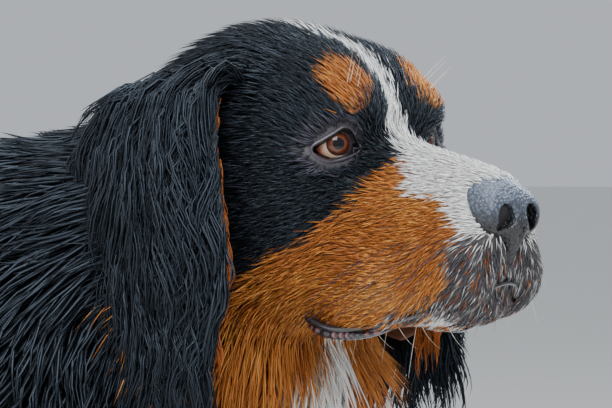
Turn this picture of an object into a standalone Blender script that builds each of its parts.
"""A standing Bernese mountain dog at life size, as a still model, in metres with +Z up.

The dog faces +X with its head turned towards its right side, -Y. Its shape is one distance
field made of ellipsoids and tapered limbs that run into one another. The field is turned into
low meshes, which are parted with thin cuts, and flat tapered locks of hair are fused to them.
"""
import math

import bmesh
import bpy
import numpy as np
from mathutils import Matrix, Vector

# Driving dimensions of the body, skin to skin
WITHERS = 0.655
CHEST_DEPTH = 0.316
CHEST_HALF_WIDTH = 0.118
LEG_SPREAD = 0.100
ELBOW = (0.172, 0.105, 0.372)
HOCK = (-0.392, LEG_SPREAD, 0.168)
PAW_HALF_WIDTH = 0.040
TOE_SPREAD = 0.029
SOLE_LEVEL = 0.010

# Driving dimensions of the head, in its own space: x forward, y left, z up, from between the eyes
HEAD_AT = (0.520, -0.055, 0.690)
HEAD_YAW = math.radians(-25.0)
EYE_AT = (-0.0055, 0.0345, -0.001)
EYE_RADIUS = 0.0120
EYE_OUTWARD = math.radians(38.0)
NOSE_AT = (0.0965, 0.0, -0.0385)
NOSE_RADII = (0.0200, 0.0225, 0.0158)
LID_HALF_WIDTH = 0.0115
LID_HALF_HEIGHT = 0.0062
LIP_DEPTH = 0.004

# Each ear as sections down its length: x, y and z of the middle, half width, depth of the cup
EAR_STATIONS = (
    (-0.092, 0.044, 0.022, 0.028, 0.000), (-0.094, 0.070, 0.032, 0.036, 0.002),
    (-0.096, 0.088, 0.021, 0.044, 0.005), (-0.096, 0.098, -0.006, 0.050, 0.009),
    (-0.093, 0.103, -0.040, 0.055, 0.011), (-0.087, 0.104, -0.074, 0.054, 0.010),
    (-0.080, 0.102, -0.104, 0.044, 0.006), (-0.075, 0.100, -0.125, 0.022, 0.001),
)
EAR_SIDES = 10
EAR_HAIR_END = (-0.078, 0.097, -0.182, 0.040, 0.0)
EAR_HAIR_ROW = 9.2
EAR_LOCK_ROWS = (2.6, 3.9, 5.1, 6.2)
EAR_LOCK_COLUMNS = (-0.80, -0.10, 0.60)
EAR_LOCK_ROWS_LONG = 2.3
EAR_LOCK_WIDTH = 0.044
EAR_LOCK_THICKNESS = 0.40
EAR_LOCK_LIFTS = ((0.0, 0.0), (0.25, 0.005), (0.62, 0.008), (1.0, 0.009))
EAR_FAN = 0.45
EAR_ROOM_WIDTH = 1.7
EAR_ROOM_DEPTH = 0.044
EAR_ROOM_LIFT = 0.012
EAR_THICKNESS = 0.008
EAR_TILT = 0.10

# How far the legs stand ahead or behind of one another
FORE_STEP = 0.014
HIND_STEP = 0.022

# Grid of the head and the triangles of each plain core
HEAD_STEP = 0.004
HEAD_TRIANGLES = 1750
NECK_TRIANGLES = 400
TORSO_TRIANGLES = 760
FORELEG_TRIANGLES = 520
HINDLEG_TRIANGLES = 540
TAIL_TRIANGLES = 200

# How far the coat stands over the skin, and the share of it that the plain core fills
CORE_SHARE = 0.45
HEAD_SHARE = 0.8
GAP = 0.0003

# Every lock: how far along it each section lies, how much of the coat's depth it stands over
# the skin, its width against the widest, and its thickness
LOCK_STATIONS = ((0.0, 0.0), (0.24, 0.68), (0.62, 0.88), (1.0, 1.0))
LOCK_SECTIONS = ((0.60, 0.008), (1.0, 0.013), (0.80, 0.009), (0.0, 0.0))
LOCK_SINK = 0.007
LOCK_SWAY = 0.12
LOCK_BEND = 0.45
ROOT_TRIES = 6000

TAIL_LINE = (
    (-0.375, 0.0, 0.560), (-0.430, 0.0, 0.535), (-0.472, 0.0, 0.460),
    (-0.493, 0.0, 0.370), (-0.500, 0.0, 0.285), (-0.518, 0.0, 0.215),
)
TAIL_RADII = (0.034, 0.030, 0.026, 0.022, 0.018, 0.012)

LIP_LINE = (
    (0.0975, 0.000, -0.081), (0.0940, 0.012, -0.084), (0.082, 0.0235, -0.0910),
    (0.060, 0.033, -0.099), (0.034, 0.0415, -0.1060), (0.008, 0.0475, -0.109),
    (-0.014, 0.050, -0.103),
)
LIP_GROOVE = 0.0017

# The ruff under the jaw, and the level in the head's space where it meets the head
RUFF_AT = (0.420, 0.003, 0.564)
RUFF_RADIUS = 0.057
THROAT_LEVEL = -0.114


def ellipsoid(points, centre, radii):
    """Distance to an ellipsoid, near enough close to its surface."""
    scaled = (points - np.array(centre)) / np.array(radii)
    k0 = np.sqrt((scaled * scaled).sum(-1))
    k1 = np.sqrt(((scaled / np.array(radii)) ** 2).sum(-1)) + 1e-9
    return k0 * (k0 - 1.0) / k1


def limb(points, start, end, radius_start, radius_end, width=1.0):
    """Distance to a tapered rod with round ends, whose width in y may differ from its height."""
    squeeze = np.array((1.0, 1.0 / width, 1.0))
    start = np.array(start)
    along = (np.array(end) - start) * squeeze
    offset = (points - start) * squeeze
    share = np.clip((offset @ along) / (along @ along), 0, 1)
    gap = np.sqrt(((offset - share[..., None] * along) ** 2).sum(-1))
    return (gap - (radius_start + (radius_end - radius_start) * share)) * min(1.0, width)


def join(first, second, blend):
    """Both forms as one, with a round fillet of about that size between them."""
    share = np.clip(0.5 + 0.5 * (second - first) / blend, 0, 1)
    return second * (1 - share) + first * share - blend * share * (1 - share)


def carve(form, hollow, blend):
    """The form without the hollow, its rim rounded."""
    return -join(-form, hollow, blend)


def joined(parts, blend):
    """A chain of forms as one."""
    form = parts[0]
    for part in parts[1:]:
        form = join(form, part, blend)
    return form


def folded(points):
    """The points with the right side laid over the left."""
    return np.stack([points[..., 0], np.abs(points[..., 1]), points[..., 2]], -1)


def to_head(points):
    """World points in the head's own space."""
    offset = points - np.array(HEAD_AT)
    cos, sin = math.cos(HEAD_YAW), math.sin(HEAD_YAW)
    forward = offset[..., 0] * cos + offset[..., 1] * sin
    left = offset[..., 1] * cos - offset[..., 0] * sin
    return np.stack([forward, left, offset[..., 2]], -1)


def head_matrix():
    """Carries the head's own space into the world."""
    return Matrix.Translation(HEAD_AT) @ Matrix.Rotation(HEAD_YAW, 4, "Z")


def trunk(points):
    """Rib cage, shoulders, loin, croup and thighs."""
    q = folded(points)
    half = CHEST_DEPTH / 2
    form = ellipsoid(q, (0.085, 0, WITHERS - half), (0.285, CHEST_HALF_WIDTH, half))
    form = join(form, ellipsoid(q, (0.235, 0, 0.480), (0.115, 0.112, 0.140)), 0.06)
    form = join(form, limb(q, (0.20, 0, 0.582), (-0.02, 0, 0.568), 0.065, 0.070), 0.06)
    form = join(form, limb(q, (0.02, 0, 0.520), (-0.25, 0, 0.525), 0.112, 0.104, 0.98), 0.06)
    form = join(form, ellipsoid(q, (-0.275, 0, 0.520), (0.125, 0.105, 0.105)), 0.06)
    shoulder_blade = limb(q, (0.190, 0.070, 0.565), (0.285, 0.098, 0.430), 0.040, 0.048)
    upper_arm = limb(q, (0.285, 0.098, 0.430), ELBOW, 0.048, 0.040)
    form = join(form, join(shoulder_blade, upper_arm, 0.04), 0.05)
    thigh = limb(q, (-0.285, 0.070, 0.500), (-0.205, 0.100, 0.375), 0.085, 0.060)
    ham = limb(q, (-0.350, 0.065, 0.490), (-0.290, 0.095, 0.340), 0.060, 0.048)
    return join(join(form, thigh, 0.05), ham, 0.05)


def paw(q, centre, half_length, half_width):
    """A paw with four toes, arched and close together."""
    x, y, z = centre
    form = ellipsoid(q, centre, (half_length, half_width * 0.92, 0.029))
    spread = half_width / PAW_HALF_WIDTH
    for ahead, aside in ((0.022, -TOE_SPREAD), (0.036, -0.0105), (0.036, 0.0105), (0.022, TOE_SPREAD)):
        toe = ellipsoid(q, (x + ahead, y + aside * spread, z - 0.006), (0.027, 0.0125, 0.020))
        form = join(form, toe, 0.004)
    return form


def forelegs(points):
    """Forearms, pasterns and front paws."""
    q = folded(points)
    y = LEG_SPREAD - 0.002
    forearm = joined([
        limb(q, ELBOW, (0.190, LEG_SPREAD, 0.250), 0.046, 0.033),
        limb(q, (0.190, LEG_SPREAD, 0.250), (0.200, y, 0.130), 0.033, 0.027),
        limb(q, (0.200, y, 0.130), (0.222, y, 0.055), 0.028, 0.028),
    ], 0.02)
    return join(forearm, paw(q, (0.240, y, 0.034), 0.048, PAW_HALF_WIDTH), 0.015)


def hindlegs(points):
    """Second thighs, hocks, hind pasterns and hind paws."""
    q = folded(points)
    y = LEG_SPREAD
    leg = joined([
        limb(q, (-0.225, y, 0.360), (-0.345, y, 0.225), 0.064, 0.034),
        limb(q, (-0.345, y, 0.225), HOCK, 0.032, 0.026),
        limb(q, HOCK, (-0.365, y, 0.060), 0.025, 0.024),
    ], 0.018)
    return join(leg, paw(q, (-0.340, y, 0.033), 0.046, PAW_HALF_WIDTH - 0.003), 0.015)


def tail(points):
    """The tail's dock and tapering bones, hanging."""
    pairs = zip(TAIL_LINE, TAIL_LINE[1:], TAIL_RADII, TAIL_RADII[1:])
    return joined([limb(points, *pair) for pair in pairs], 0.01)


def neck(points):
    """The strong neck, its throat and the full ruff under the jaw."""
    crest = limb(points, (0.180, 0.0, 0.516), (0.385, -0.012, 0.634), 0.116, 0.080, 0.90)
    throat = limb(points, (0.26, 0.0, 0.50), (0.405, -0.012, 0.600), 0.085, 0.055, 0.9)
    ruff = limb(points, (0.30, 0.0, 0.50), RUFF_AT, 0.080, RUFF_RADIUS)
    return join(join(crest, throat, 0.05), ruff, 0.04)


def muzzle(h):
    """The muzzle as a box with round corners, tapering to the nose."""
    share = np.clip((h[..., 0] - 0.010) / 0.090, 0, 1)
    level = -0.045 - 0.009 * share
    half_width = 0.038 - 0.012 * share
    half_height = 0.040 - 0.010 * share
    ahead = np.maximum(h[..., 0] - 0.076, 0) / 0.022
    behind = np.maximum(0.010 - h[..., 0], 0) / 0.030
    power = 2.5
    size = np.abs(h[..., 1] / half_width) ** power + np.abs((h[..., 2] - level) / half_height) ** power
    size = (size + ahead ** power + behind ** power) ** (1 / power)
    return (size - 1) * 0.028


def skull(h):
    """Braincase, forehead, cheekbones and cheeks."""
    form = ellipsoid(h, (-0.082, 0, 0.008), (0.080, 0.066, 0.060))
    form = join(form, ellipsoid(h, (-0.030, 0.019, 0.014), (0.042, 0.033, 0.040)), 0.016)
    form = join(form, ellipsoid(h, (-0.048, 0.044, -0.014), (0.050, 0.030, 0.044)), 0.02)
    form = join(form, ellipsoid(h, (-0.045, 0.042, -0.058), (0.050, 0.032, 0.042)), 0.03)
    throat = limb(h, (-0.050, 0, -0.050), (-0.120, 0, -0.070), 0.050, 0.060)
    return join(form, throat, 0.03)


def lips(h):
    """Nose bridge, upper lips, whisker pads and the hanging corners of the lips."""
    form = limb(h, (0.012, 0, -0.016), (0.090, 0, -0.0335), 0.0175, 0.0145)
    form = join(form, ellipsoid(h, (0.052, 0.023, -0.076), (0.048, 0.016, 0.026)), 0.014)
    form = join(form, ellipsoid(h, (0.077, 0.014, -0.062), (0.022, 0.017, 0.026)), 0.010)
    return join(form, ellipsoid(h, (0.018, 0.038, -0.086), (0.036, 0.013, 0.024)), 0.014)


def lower_jaw(h):
    """The two sides of the lower jaw and the chin."""
    side = limb(h, (-0.035, 0.030, -0.090), (0.068, 0.008, -0.0920), 0.017, 0.0105)
    return join(side, ellipsoid(h, (0.073, 0, -0.0910), (0.018, 0.018, 0.0098)), 0.008)


def eyelids(h):
    """The raised ring of both lids round the eye, and the brow over it."""
    ring = ellipsoid(h, EYE_AT, (EYE_RADIUS + 0.0022,) * 3)
    brow = ellipsoid(h, (-0.003, 0.029, 0.021), (0.018, 0.016, 0.011))
    return ring, brow


def head(points):
    """The whole head with no ears, in world points."""
    h = folded(to_head(points))
    form = join(skull(h), muzzle(h), 0.018)
    form = join(form, lips(h), 0.014)
    ring, brow = eyelids(h)
    form = join(form, brow, 0.012)
    hollow = ellipsoid(h, (0.026, 0.040, -0.004), (0.018, 0.012, 0.013))
    form = carve(form, hollow, 0.014)
    form = join(form, ring, 0.004)
    return join(form, lower_jaw(h), 0.006)


def stepped(points):
    """The points with each leg carried a little forward or back, so that the stance is natural."""
    q = points.copy()
    drop = ramp(points[..., 2], 0.34, 0.05)
    side = np.sign(points[..., 1])
    front = np.where(points[..., 0] > 0, FORE_STEP, -HIND_STEP)
    q[..., 0] -= side * front * drop
    return q


def whole(points):
    """The skin of the whole dog, less the ears."""
    placed = stepped(points)
    form = join(trunk(points), forelegs(placed), 0.03)
    form = join(form, hindlegs(placed), 0.03)
    form = join(form, tail(points), 0.03)
    form = join(form, neck(points), 0.07)
    return join(form, head(points), 0.03)


def ramp(values, start, end):
    """Runs smoothly from 0 at the start to 1 at the end, whichever is larger."""
    share = np.clip((values - start) / (end - start), 0, 1)
    return share * share * (3 - 2 * share)


def coat(points):
    """How far the tips of the coat stand over the skin."""
    q = folded(stepped(points))
    x, y, z = q[..., 0], q[..., 1], q[..., 2]
    depth = 0.020 + 0.012 * ramp(z, 0.52, 0.38)
    depth += 0.034 * ramp(z, 0.385, 0.345) * ramp(y, 0.10, 0.06) * ramp(x, -0.24, -0.14) * ramp(x, 0.30, 0.20)
    depth += 0.024 * ramp(x, 0.22, 0.32) * ramp(z, 0.64, 0.52)
    depth += 0.012 * ramp(x, 0.28, 0.38) - 0.016 * ramp(x, 0.26, 0.36) * ramp(z, 0.64, 0.69)
    breeches = ramp(x, -0.28, -0.36) * ramp(z, 0.57, 0.50) * ramp(z, 0.20, 0.27)
    depth += 0.036 * breeches
    foreleg = ramp(z, 0.350, 0.320) * ramp(x, 0.02, 0.06)
    behind_leg = 0.172 + 0.12 * (0.372 - z) - x
    fore_coat = 0.006 + 0.036 * ramp(behind_leg, 0.010, 0.034) * ramp(z, 0.09, 0.16)
    depth = depth * (1 - foreleg) + fore_coat * foreleg
    hindleg = ramp(z, 0.300, 0.230) * ramp(x, 0.02, -0.02)
    depth = depth * (1 - hindleg) + 0.007 * hindleg
    depth += (0.0035 - depth) * ramp(z, 0.085, 0.055)
    on_tail = ramp(x, -0.415, -0.445)
    plume = 0.030 + 0.026 * ramp(x, -0.46, -0.52) + 0.014 * ramp(z, 0.45, 0.30)
    depth = depth * (1 - on_tail) + plume * on_tail
    h = to_head(points)
    short = 0.0025 + 0.004 * ramp(h[..., 0], 0.035, -0.02) + 0.004 * ramp(h[..., 0], -0.02, -0.08)
    on_head = ramp(h[..., 0], -0.155, -0.070) * ramp(points[..., 0], 0.34, 0.38)
    on_head = on_head * ramp(h[..., 2], THROAT_LEVEL - 0.014, THROAT_LEVEL)
    return depth * (1 - on_head) + short * on_head


def layer(share):
    """The field of a layer of the coat: 0 gives the skin and 1 the tips."""
    def field(points):
        return whole(points) - share * coat(points)
    return field


def fill_pinches(values):
    """Fills the grid points where two sheets of a surface would touch along an edge."""
    for _ in range(3):
        for first, second in ((0, 1), (0, 2), (1, 2)):
            def shifted(a, b):
                place = [slice(None)] * 3
                place[first] = slice(a, values.shape[first] - 1 + a)
                place[second] = slice(b, values.shape[second] - 1 + b)
                return values[tuple(place)]
            here, across = shifted(0, 0), shifted(1, 1)
            one, other = shifted(0, 1), shifted(1, 0)
            pinched = (here < 0) & (across < 0) & (one >= 0) & (other >= 0)
            one[pinched] = -1e-4
            pinched = (one < 0) & (other < 0) & (here >= 0) & (across >= 0)
            here[pinched] = -1e-4


def grid_nets(field, low, high, step):
    """A closed quad mesh where the field is zero, on a grid of that step: points and quads."""
    axes = [np.arange(a, b + step, step) for a, b in zip(low, high)]
    shape = [len(axis) for axis in axes]
    grid = np.stack(np.meshgrid(*axes, indexing="ij"), -1).reshape(-1, 3)
    blocks = np.array_split(grid, max(1, len(grid) // 200000))
    values = np.concatenate([field(block) for block in blocks]).reshape(shape)
    for axis in range(3):
        for end in (0, -1):
            rim = [slice(None)] * 3
            rim[axis] = end
            values[tuple(rim)] = np.maximum(values[tuple(rim)], step)
    fill_pinches(values)
    inside = values < 0
    corners = [(i, j, k) for i in (0, 1) for j in (0, 1) for k in (0, 1)]
    count = sum(
        inside[tuple(slice(c, n - 1 + c) for c, n in zip(corner, shape))].astype(int)
        for corner in corners
    )
    cells = np.nonzero((count > 0) & (count < 8))
    index = np.full(count.shape, -1)
    index[cells] = np.arange(len(cells[0]))
    total = np.zeros((len(cells[0]), 3))
    hits = np.zeros(len(cells[0]))
    for corner in corners:
        for axis in range(3):
            if corner[axis]:
                continue
            far = tuple(c + (a == axis) for a, c in enumerate(corner))
            near_value = values[tuple(i + c for i, c in zip(cells, corner))]
            far_value = values[tuple(i + c for i, c in zip(cells, far))]
            crossed = (near_value < 0) != (far_value < 0)
            share = np.where(crossed, near_value / np.where(crossed, near_value - far_value, 1), 0)
            for a in range(3):
                total[:, a] += crossed * (axes[a][cells[a] + corner[a]] + (a == axis) * share * step)
            hits += crossed
    quads = []
    for axis in range(3):
        first, second = (axis + 1) % 3, (axis + 2) % 3
        near = tuple(slice(0, n - 1) if a == axis else slice(1, n - 1) for a, n in enumerate(shape))
        far = tuple(slice(1, n) if a == axis else slice(1, n - 1) for a, n in enumerate(shape))
        edges = np.nonzero(inside[near] != inside[far])
        outward = inside[near][edges]
        base = [edge + (a != axis) for a, edge in enumerate(edges)]
        ring = []
        for back_first, back_second in ((1, 1), (0, 1), (0, 0), (1, 0)):
            at = list(base)
            at[first] = base[first] - back_first
            at[second] = base[second] - back_second
            ring.append(index[tuple(at)])
        ring = np.stack(ring, -1)
        ring[~outward] = ring[~outward][:, ::-1]
        quads.append(ring)
    return total / hits[:, None], np.concatenate(quads)


def material(name, colour, roughness):
    """A plain Principled material."""
    result = bpy.data.materials.get(name)
    if result is None:
        result = bpy.data.materials.new(name)
        result.use_nodes = True
        shader = result.node_tree.nodes["Principled BSDF"]
        shader.inputs["Base Color"].default_value = (*colour, 1.0)
        shader.inputs["Roughness"].default_value = roughness
    return result


FINISHES = {
    "coat_black": ((0.012, 0.012, 0.015), 0.45),
    "coat_rust": ((0.30, 0.11, 0.03), 0.55),
    "nose_leather": ((0.035, 0.033, 0.035), 0.40),
    "eye_amber": ((0.10, 0.035, 0.010), 0.08),
}


def add_object(name, points, faces, finish="coat_black"):
    """A mesh object from points and faces."""
    mesh = bpy.data.meshes.new(name)
    mesh.from_pydata([tuple(p) for p in points], [], [tuple(int(i) for i in f) for f in faces])
    mesh.update()
    mesh.materials.append(material(finish, *FINISHES[finish]))
    obj = bpy.data.objects.new(name, mesh)
    bpy.context.scene.collection.objects.link(obj)
    return obj


def settle(obj):
    """Turns what the modifiers make into the object's own mesh."""
    graph = bpy.context.evaluated_depsgraph_get()
    mesh = bpy.data.meshes.new_from_object(obj.evaluated_get(graph))
    obj.modifiers.clear()
    old = obj.data
    obj.data = mesh
    bpy.data.meshes.remove(old)
    mesh.name = obj.name


def thin_out(obj, triangles):
    """Brings a dense mesh down to about that many triangles."""
    obj.data.calc_loop_triangles()
    modifier = obj.modifiers.new("Fewer faces", "DECIMATE")
    modifier.ratio = min(1.0, triangles / len(obj.data.loop_triangles))
    modifier.use_collapse_triangulate = True
    settle(obj)


def combine(obj, operation, other):
    """A Boolean of two closed meshes, applied."""
    modifier = obj.modifiers.new(operation, "BOOLEAN")
    modifier.operation = operation
    modifier.solver = "MANIFOLD"
    modifier.object = other
    settle(obj)


def fuse(obj, pieces):
    """Unites the object with all the pieces, which are then removed."""
    if not pieces:
        return
    group = bpy.data.collections.new(obj.name + " pieces")
    bpy.context.scene.collection.children.link(group)
    for piece in pieces:
        group.objects.link(piece)
    modifier = obj.modifiers.new("Locks", "BOOLEAN")
    modifier.operand_type = "COLLECTION"
    modifier.operation = "UNION"
    modifier.solver = "MANIFOLD"
    modifier.collection = group
    settle(obj)
    for piece in pieces:
        remove(piece)
    bpy.data.collections.remove(group)


def remove(obj):
    """Removes a helper object and its mesh."""
    mesh = obj.data
    bpy.data.objects.remove(obj)
    bpy.data.meshes.remove(mesh)


def keep_largest(obj):
    """Keeps the closed surface with the most volume, as loose triangles joined at their points."""
    shape = bmesh.new()
    shape.from_mesh(obj.data)
    bmesh.ops.triangulate(shape, faces=shape.faces[:])
    unseen = set(shape.faces)
    islands = []
    while unseen:
        stack = [unseen.pop()]
        island = []
        while stack:
            face = stack.pop()
            island.append(face)
            for edge in face.edges:
                if len(edge.link_faces) != 2:
                    continue
                for other in edge.link_faces:
                    if other in unseen:
                        unseen.remove(other)
                        stack.append(other)
        volume = sum(f.verts[0].co.dot(f.verts[1].co.cross(f.verts[2].co)) for f in island)
        islands.append((abs(volume), island))
    islands.sort(key=lambda pair: -pair[0])
    for _, island in islands[1:]:
        bmesh.ops.delete(shape, geom=island, context="FACES")
    loose = [vert for vert in shape.verts if not vert.link_faces]
    bmesh.ops.delete(shape, geom=loose, context="VERTS")
    shape.to_mesh(obj.data)
    shape.free()


def swollen(obj, distance):
    """A copy of the object grown outwards along its normals, to cut a clearance with."""
    copy = bpy.data.objects.new(obj.name + " grown", obj.data.copy())
    bpy.context.scene.collection.objects.link(copy)
    normals = [vert.normal.copy() for vert in copy.data.vertices]
    for vert, normal in zip(copy.data.vertices, normals):
        vert.co += normal * distance
    copy.hide_render = True
    copy.display_type = "WIRE"
    return copy


def cut_clear(obj, other):
    """Cuts the object back so that it keeps the gap to the other one."""
    cutter = swollen(other, GAP * 1.3)
    combine(obj, "DIFFERENCE", cutter)
    remove(cutter)


def territory(name, planes, shift=0.0):
    """A convex block inside all the planes, each a normal and an offset, moved out by the shift."""
    block = bmesh.new()
    bmesh.ops.create_cube(block, size=3.0)
    for normal, offset in planes:
        direction = Vector(normal)
        length = direction.length
        direction.normalize()
        point = direction * (offset / length + shift)
        everything = block.verts[:] + block.edges[:] + block.faces[:]
        cut = bmesh.ops.bisect_plane(
            block, geom=everything, dist=1e-7, plane_co=point, plane_no=direction, clear_outer=True
        )
        rim = [item for item in cut["geom_cut"] if isinstance(item, bmesh.types.BMEdge)]
        bmesh.ops.holes_fill(block, edges=rim)
    bmesh.ops.recalc_face_normals(block, faces=block.faces[:])
    mesh = bpy.data.meshes.new(name)
    block.to_mesh(mesh)
    block.free()
    obj = bpy.data.objects.new(name, mesh)
    bpy.context.scene.collection.objects.link(obj)
    obj.hide_render = True
    obj.display_type = "WIRE"
    return obj


def facing_away(plane):
    """The same plane with its other side kept."""
    normal, offset = plane
    return tuple(-n for n in normal), -offset


def head_planes():
    """The block that holds the head: ahead of the back of the skull, and over the throat."""
    normal = head_matrix().to_3x3() @ Vector((-0.907, 0.0, -0.42))
    point = head_matrix() @ Vector((-0.118, 0.0, -0.020))
    return [(tuple(normal), normal.dot(point)), ((0.0, 0.0, -1.0), -HEAD_AT[2] - THROAT_LEVEL)]


NECK_PLANE = ((0.747, 0.0, 0.664), 0.747 * 0.280 + 0.664 * 0.585)
TAIL_PLANE = ((-0.95, 0.0, 0.30), 0.548)
FLOOR_PLANE = ((0.0, 0.0, -1.0), -SOLE_LEVEL)


def foreleg_planes(side):
    """The block that holds a foreleg: under a plane that rises outwards from the brisket."""
    under = ((0.0, -0.6 * side, 1.0), 0.255)
    return [under, ((0.0, -side, 0.0), -0.006), ((-1.0, 0.0, 0.0), -0.085), ((1.0, 0.0, 0.0), 0.300)]


def hindleg_planes(side):
    """The block that holds a hind leg and its thigh: under a steep plane from groin to hip."""
    under = ((1.0, -1.9 * side, 1.0), 0.310 - 1.9 * 0.045 - 0.25)
    return [under, ((0.0, -side, 0.0), -0.0002), ((1.0, 0.0, 0.0), -0.110)]


def confine(obj, planes):
    """Keeps the object inside its own block, half a gap within each plane."""
    block = territory(obj.name + " block", planes, -GAP / 2)
    combine(obj, "INTERSECT", block)
    remove(block)


def exclude(obj, planes):
    """Keeps the object out of a neighbour's block, half a gap off it."""
    block = territory(obj.name + " hollow", planes, GAP / 2)
    combine(obj, "DIFFERENCE", block)
    remove(block)


def add_form(name, low, high, step, triangles, finish="coat_black"):
    """The core of the coat between two corners, as a thinned mesh."""
    points, quads = grid_nets(layer(CORE_SHARE), low, high, step)
    obj = add_object(name, points, quads, finish)
    thin_out(obj, triangles)
    return obj


def lie(points):
    """The direction in which the hair flows: back along the body, down the chest and legs."""
    q = folded(points)
    x, y, z = q[..., 0], q[..., 1], q[..., 2]
    flow = np.stack([np.full_like(x, -0.86), 0 * x, np.full_like(x, -0.42)], -1)

    def lean(direction, weight):
        aim = np.array(direction)
        flow[...] = flow * (1 - weight[..., None]) + aim * weight[..., None]

    lean((-0.70, 0.0, -0.70), ramp(z, 0.55, 0.45))
    lean((-0.45, 0.0, -0.90), ramp(z, 0.40, 0.34))
    lean((-0.12, 0.0, -1.00), ramp(x, 0.24, 0.34) * ramp(z, 0.66, 0.54))
    lean((-0.50, 0.0, -0.86), ramp(x, -0.20, -0.30) * ramp(z, 0.58, 0.48))
    lean((-0.28, 0.0, -0.96), ramp(z, 0.34, 0.28))
    lean((-0.12, 0.0, -1.00), ramp(x, -0.415, -0.445))
    side = np.sign(points[..., 1]) * ramp(np.abs(points[..., 1]), 0.0, 0.05)
    flow[..., 1] = side * 0.10 * ramp(z, 0.30, 0.50)
    return flow


def outward(points):
    """Unit normals of the skin's field."""
    step = 0.002
    parts = []
    for axis in range(3):
        offset = np.zeros(3)
        offset[axis] = step
        parts.append(whole(points + offset) - whole(points - offset))
    normal = np.stack(parts, -1)
    return normal / (np.linalg.norm(normal, axis=-1, keepdims=True) + 1e-9)


def spaced_roots(obj, spacing, rng, keep):
    """Points on the object at least the spacing apart, where keep(points) allows them."""
    obj.data.calc_loop_triangles()
    co = np.array([vert.co for vert in obj.data.vertices])
    tris = np.array([tri.vertices for tri in obj.data.loop_triangles])
    a, b, c = co[tris[:, 0]], co[tris[:, 1]], co[tris[:, 2]]
    area = np.linalg.norm(np.cross(b - a, c - a), axis=1)
    pick = rng.choice(len(tris), size=ROOT_TRIES, p=area / area.sum())
    u, v = rng.random(ROOT_TRIES), rng.random(ROOT_TRIES)
    over = u + v > 1
    u[over], v[over] = 1 - u[over], 1 - v[over]
    points = a[pick] + u[:, None] * (b - a)[pick] + v[:, None] * (c - a)[pick]
    points = points[keep(points)]
    chosen = np.empty((0, 3))
    for point in points:
        if len(chosen) == 0 or ((chosen - point) ** 2).sum(1).min() > spacing ** 2:
            chosen = np.vstack([chosen, point])
    return chosen


def lock_paths(roots, length, rng):
    """The middle line of each lock, from its sunk root over the core and out to its tip."""
    sway = rng.normal(0, LOCK_SWAY, len(roots))
    bend = rng.choice((-1.0, 1.0), len(roots)) * rng.uniform(0.3, 1.0, len(roots)) * LOCK_BEND
    point = roots.copy()
    depth = coat(roots)
    stations = []
    for share, height in LOCK_STATIONS:
        turn = sway + bend * (share - 0.5)
        normal = outward(point)
        flow = lie(point)
        flow -= normal * (flow * normal).sum(-1, keepdims=True)
        flow /= np.linalg.norm(flow, axis=-1, keepdims=True) + 1e-9
        side = np.cross(normal, flow)
        flow = flow * np.cos(turn)[:, None] + side * np.sin(turn)[:, None]
        side = np.cross(normal, flow)
        if stations:
            point = point + flow * (length * (share - last))[:, None]
            depth = 0.5 * depth + 0.5 * coat(point)
            lift = height * depth - whole(point)
            point = point + normal * np.clip(lift, -0.03, 0.03)[:, None]
        else:
            point = point - normal * LOCK_SINK
        last = share
        stations.append((point, normal, side))
    return stations


def add_locks(obj, spacing, length, width, seed, keep):
    """Sets flat tapered locks over the object and fuses them to it."""
    rng = np.random.default_rng(seed)
    roots = spaced_roots(obj, spacing, rng, keep)
    lengths = length * rng.uniform(0.85, 1.2, len(roots))
    widths = width * rng.uniform(0.85, 1.15, len(roots))
    stations = lock_paths(roots, lengths, rng)
    pieces = []
    for index in range(len(roots)):
        rings = []
        for (point, normal, side), (wide, thick) in zip(stations, LOCK_SECTIONS):
            p, n, s = point[index], normal[index], side[index]
            half = widths[index] / 2 * wide
            rings.append([p + s * half, p + n * thick * 0.6, p - s * half, p - n * thick * 0.4])
        pieces.append(add_lock("lock", rings))
    fuse(obj, pieces)


def add_lock(name, rings):
    """One lock: its rings joined, with its last ring drawn together to a point."""
    points = [corner for ring in rings[:-1] for corner in ring]
    points.append(sum(rings[-1]) / len(rings[-1]))
    faces = [(3, 2, 1, 0)]
    for row in range(len(rings) - 2):
        for step in range(4):
            a, b = row * 4 + step, row * 4 + (step + 1) % 4
            faces += [(a, b, b + 4), (a, b + 4, a + 4)]
    start, tip = (len(rings) - 2) * 4, len(points) - 1
    for step in range(4):
        faces.append((start + step, start + (step + 1) % 4, tip))
    return add_closed(name, points, faces)


def ring_loft(rings):
    """A closed mesh through rings of like count, its two ends closed with fans of triangles."""
    count = len(rings[0])
    points = [point for ring in rings for point in ring]
    faces = []
    for row in range(len(rings) - 1):
        for step in range(count):
            a, b = row * count + step, row * count + (step + 1) % count
            faces.append((a, b, b + count))
            faces.append((a, b + count, a + count))
    for row, turned in ((0, True), (len(rings) - 1, False)):
        start = row * count
        for step in range(1, count - 1):
            fan = (start, start + step, start + step + 1)
            faces.append(fan[::-1] if turned else fan)
    return points, faces


def add_closed(name, points, faces, finish="coat_black"):
    """A mesh object whose faces are turned to point outwards."""
    obj = add_object(name, points, faces, finish)
    shape = bmesh.new()
    shape.from_mesh(obj.data)
    bmesh.ops.recalc_face_normals(shape, faces=shape.faces[:])
    if shape.calc_volume(signed=True) < 0:
        bmesh.ops.reverse_faces(shape, faces=shape.faces[:])
    shape.to_mesh(obj.data)
    shape.free()
    return obj


def ear_ring(station, side):
    """One section across the ear's leaf: a thin lens that is cupped towards the head."""
    x, y, z, half_width, cup = station
    ring = []
    for step in range(EAR_SIDES):
        angle = 2 * math.pi * step / EAR_SIDES
        across = math.cos(angle)
        thick = EAR_THICKNESS / 2 * math.sin(angle)
        out = y - cup * across * across + thick
        point = Vector((x + half_width * across, side * out, z + EAR_TILT * half_width * across))
        ring.append(head_matrix() @ point)
    return ring


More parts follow.
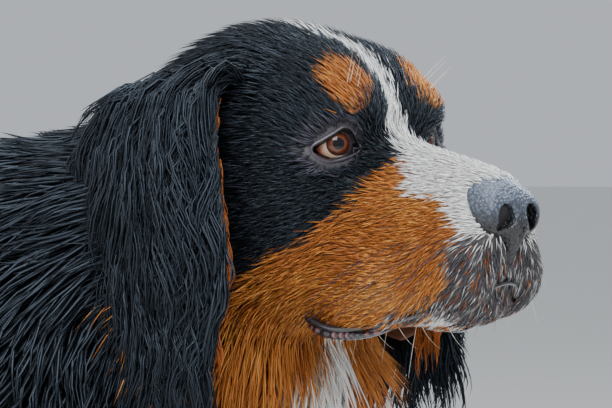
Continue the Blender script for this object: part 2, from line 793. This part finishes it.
def add_ear(name, side):
    """The hanging ear, from its root in the skull over the fold and down to its round tip."""
    rings = [ear_ring(station, side) for station in EAR_STATIONS]
    points, faces = ring_loft(rings)
    return add_closed(name, points, faces)


def ear_place(side, row, across, lift):
    """A point of the ear, at a row between its sections, a share across it and a height over it."""
    rows = (*range(len(EAR_STATIONS)), EAR_HAIR_ROW)
    x, y, z, half_width, cup = (np.interp(row, rows, values) for values in zip(*EAR_STATIONS, EAR_HAIR_END))
    half_width = max(half_width, EAR_HAIR_END[3])
    out = y - cup * min(across * across, 1.0) + lift
    point = Vector((x + half_width * across, side * out, z + EAR_TILT * half_width * across))
    return np.array(head_matrix() @ point)


def clear_ear_room(obj, side):
    """Cuts a smooth hollow for the ear and its locks to hang in, a little clear of them."""
    rings = []
    for row in (*range(len(EAR_STATIONS)), EAR_HAIR_ROW):
        ring = []
        for step in range(EAR_SIDES):
            angle = 2 * math.pi * step / EAR_SIDES
            lift = EAR_ROOM_LIFT + EAR_ROOM_DEPTH / 2 * math.sin(angle)
            ring.append(ear_place(side, row, EAR_ROOM_WIDTH * math.cos(angle), lift))
        rings.append(ring)
    points, faces = ring_loft(rings)
    cutter = add_closed("ear room", points, faces)
    combine(obj, "DIFFERENCE", cutter)
    remove(cutter)


def add_ear_locks(obj, side, seed):
    """Wavy locks down the outer face of the ear, out past its back edge and its tip."""
    rng = np.random.default_rng(seed)
    pieces = []
    for row in EAR_LOCK_ROWS:
        for across in EAR_LOCK_COLUMNS:
            start = row + rng.uniform(-0.2, 0.2)
            fan = across * (1 + EAR_FAN * (1 if across < 0 else 0.2))
            reach = EAR_LOCK_ROWS_LONG * rng.uniform(0.85, 1.2)
            drift = rng.uniform(-0.12, 0.12)
            middle = []
            for share, lift in EAR_LOCK_LIFTS:
                column = across + (fan - across) * share + drift * math.sin(share * math.pi)
                middle.append(ear_place(side, start + reach * share, column, lift))
            rings = []
            for place, (wide, thick) in enumerate(LOCK_SECTIONS):
                along = middle[min(place + 1, 3)] - middle[max(place - 1, 0)]
                above = ear_place(side, start + reach * EAR_LOCK_LIFTS[place][0], across, 0.05)
                face = above - middle[place]
                across_lock = np.cross(along, face)
                across_lock /= np.linalg.norm(across_lock)
                face = np.cross(across_lock, along)
                face /= np.linalg.norm(face)
                half = EAR_LOCK_WIDTH / 2 * wide * rng.uniform(0.9, 1.1)
                p, s, n = middle[place], across_lock * half, face * thick * EAR_LOCK_THICKNESS
                rings.append([p + s, p + n, p - s, p - n])
            pieces.append(add_lock("lock", rings))
    fuse(obj, pieces)


def add_ball(name, centre, radii, segments, rings, finish):
    """An ellipsoid in the head's space."""
    shape = bmesh.new()
    bmesh.ops.create_uvsphere(shape, u_segments=segments, v_segments=rings, radius=1.0)
    place = head_matrix() @ Matrix.Translation(centre) @ Matrix.Diagonal((*radii, 1.0))
    bmesh.ops.transform(shape, matrix=place, verts=shape.verts[:])
    mesh = bpy.data.meshes.new(name)
    shape.to_mesh(mesh)
    shape.free()
    mesh.materials.append(material(finish, *FINISHES[finish]))
    obj = bpy.data.objects.new(name, mesh)
    bpy.context.scene.collection.objects.link(obj)
    return obj


def eye_centre(side):
    """The middle of an eyeball in the head's space."""
    return (EYE_AT[0], side * EYE_AT[1], EYE_AT[2])


def add_eye(name, side):
    """An eyeball."""
    return add_ball(name, eye_centre(side), (EYE_RADIUS,) * 3, 12, 8, "eye_amber")


def open_lids(head_obj, side):
    """Cuts the almond opening between the lids, from the eyeball straight out."""
    steps = 10
    rings = []
    for depth in (0.0, 0.022):
        ring = []
        for step in range(steps):
            angle = 2 * math.pi * step / steps
            across = LID_HALF_WIDTH * math.cos(angle)
            up = LID_HALF_HEIGHT * math.sin(angle) * (1 - 0.35 * math.cos(angle) ** 2)
            turn = Matrix.Rotation(side * EYE_OUTWARD, 4, "Z")
            place = head_matrix() @ Matrix.Translation(eye_centre(side)) @ turn
            ring.append(place @ Vector((depth, across, up - 0.12 * side * across)))
        rings.append(ring)
    points, faces = ring_loft(rings)
    cutter = add_closed("lids", points, faces)
    combine(head_obj, "DIFFERENCE", cutter)
    remove(cutter)


def cut_groove(head_obj):
    """Cuts the line of the mouth, from the front of the lips round to both corners."""
    line = [Vector(p) for p in LIP_LINE[::-1]] + [Vector((x, -y, z)) for x, y, z in LIP_LINE[1:]]
    rings = []
    for place, point in enumerate(line):
        before, after = line[max(place - 1, 0)], line[min(place + 1, len(line) - 1)]
        along = (after - before).normalized()
        outward = along.cross(Vector((0, 0, 1))).normalized()
        up = outward.cross(along)
        corners = ((-LIP_DEPTH, 0.0), (0.0, LIP_GROOVE), (LIP_DEPTH, 0.0), (0.0, -LIP_GROOVE))
        rings.append([head_matrix() @ (point + outward * out + up * rise) for out, rise in corners])
    points, faces = ring_loft(rings)
    cutter = add_closed("mouth line", points, faces)
    combine(head_obj, "DIFFERENCE", cutter)
    remove(cutter)


def add_nose():
    """The nose leather, with a nostril on each side that curls back."""
    nose = add_ball("nose", NOSE_AT, NOSE_RADII, 14, 9, "nose_leather")
    for side in (1, -1):
        place = (NOSE_AT[0] + 0.0165, side * 0.0095, NOSE_AT[2] - 0.001)
        hole = add_ball("nostril", place, (0.0065, 0.0035, 0.0042), 7, 5, "nose_leather")
        combine(nose, "DIFFERENCE", hole)
        remove(hole)
        place = (NOSE_AT[0] + 0.011, side * 0.0180, NOSE_AT[2] - 0.004)
        slit = add_ball("slit", place, (0.0065, 0.0045, 0.0018), 7, 4, "nose_leather")
        combine(nose, "DIFFERENCE", slit)
        remove(slit)
    return nose


def add_head(eyes, nose):
    """The head, which lies in its own space on the grid so that both sides match."""
    def field(h):
        return layer(HEAD_SHARE)(from_head(h))
    points, quads = grid_nets(field, (-0.185, -0.125, -0.150), (0.125, 0.125, 0.090), HEAD_STEP)
    obj = add_object("head", from_head(points), quads)
    thin_out(obj, HEAD_TRIANGLES)
    confine(obj, head_planes())
    cut_groove(obj)
    for side, eye in zip((1, -1), eyes):
        cut_clear(obj, eye)
        open_lids(obj, side)
    cut_clear(obj, nose)
    keep_largest(obj)
    return obj


def from_head(h):
    """Points in the head's own space carried into the world."""
    cos, sin = math.cos(HEAD_YAW), math.sin(HEAD_YAW)
    turned = np.stack([h[..., 0] * cos - h[..., 1] * sin, h[..., 0] * sin + h[..., 1] * cos, h[..., 2]], -1)
    return turned + np.array(HEAD_AT)


def centre_and_ground(objects):
    """Carries everything so that the middle of the underside of its box is the origin."""
    low = Vector((1e9,) * 3)
    high = -low
    for obj in objects:
        for vert in obj.data.vertices:
            low = Vector(map(min, low, vert.co))
            high = Vector(map(max, high, vert.co))
    shift = Matrix.Translation((-(low.x + high.x) / 2, -(low.y + high.y) / 2, -low.z))
    for obj in objects:
        obj.data.transform(shift)
        obj.data.shade_smooth()
        obj.data.set_sharp_from_angle(angle=math.radians(50))


EAR_SEED = 16

# The locks of each node: spacing, length, width and the seed of their draws
LOCKS = {
    "neck": (0.062, 0.135, 0.060, 21),
    "torso": (0.089, 0.175, 0.082, 12),
    "foreleg": (0.050, 0.085, 0.034, 13),
    "hindleg": (0.080, 0.135, 0.064, 14),
    "tail": (0.066, 0.150, 0.054, 15),
}


def neck_roots(points):
    """The neck carries locks all over, but fewer under the ears, where they would cross."""
    h = folded(to_head(points))
    under_ear = (h[..., 0] > -0.165) & (h[..., 1] > 0.055) & (h[..., 2] > -0.135)
    return ~under_ear


def foreleg_roots(points):
    """A foreleg carries its feathering down its back, above the wrist."""
    q = folded(stepped(points))
    behind = 0.172 + 0.12 * (0.372 - q[..., 2]) - q[..., 0]
    return (behind > 0.012) & (points[..., 2] > 0.12)


def hindleg_roots(points):
    """A hind leg carries locks over the thigh and breeches, above the hock."""
    return points[..., 2] > 0.24


def anywhere(points):
    """Locks grow all over."""
    return np.ones(len(points), bool)


def build():
    """Makes every part of the dog."""
    for obj in list(bpy.data.objects):
        bpy.data.objects.remove(obj)
    eyes = [add_eye("eye_left", 1), add_eye("eye_right", -1)]
    nose = add_nose()
    head_obj = add_head(eyes, nose)
    ears = [add_ear("ear_left", 1), add_ear("ear_right", -1)]
    for side, ear_obj in zip((1, -1), ears):
        add_ear_locks(ear_obj, side, EAR_SEED)
        cut_clear(ear_obj, head_obj)
        keep_largest(ear_obj)
    neck_obj = add_form("neck", (0.10, -0.17, 0.36), (0.54, 0.17, 0.80), 0.010, NECK_TRIANGLES)
    add_locks(neck_obj, *LOCKS["neck"], neck_roots)
    confine(neck_obj, [facing_away(NECK_PLANE)])
    exclude(neck_obj, head_planes())
    for side in (1, -1):
        clear_ear_room(neck_obj, side)
    torso = add_form("torso", (-0.47, -0.20, 0.20), (0.44, 0.20, 0.74), 0.010, TORSO_TRIANGLES)
    add_locks(torso, *LOCKS["torso"], anywhere)
    confine(torso, [NECK_PLANE, TAIL_PLANE])
    legs = []
    for side, word in ((1, "left"), (-1, "right")):
        near, far = sorted((side * 0.0, side * 0.20))
        foreleg = add_form(
            "foreleg_" + word, (0.05, near - 0.01, -0.01), (0.36, far + 0.01, 0.42), 0.006,
            FORELEG_TRIANGLES, "coat_rust",
        )
        add_locks(foreleg, *LOCKS["foreleg"], foreleg_roots)
        confine(foreleg, foreleg_planes(side) + [FLOOR_PLANE])
        exclude(torso, foreleg_planes(side))
        hindleg = add_form(
            "hindleg_" + word, (-0.50, near - 0.01, -0.01), (-0.08, far + 0.01, 0.64), 0.0065,
            HINDLEG_TRIANGLES, "coat_rust",
        )
        add_locks(hindleg, *LOCKS["hindleg"], hindleg_roots)
        confine(hindleg, hindleg_planes(side) + [FLOOR_PLANE, TAIL_PLANE])
        exclude(torso, hindleg_planes(side))
        legs += [foreleg, hindleg]
    tail_obj = add_form("tail", (-0.64, -0.12, 0.10), (-0.36, 0.12, 0.64), 0.008, TAIL_TRIANGLES)
    add_locks(tail_obj, *LOCKS["tail"], anywhere)
    confine(tail_obj, [facing_away(TAIL_PLANE)])
    for obj in [neck_obj, torso, tail_obj] + legs:
        keep_largest(obj)
    centre_and_ground(eyes + [nose, head_obj] + ears + [neck_obj, torso] + legs + [tail_obj])


build()
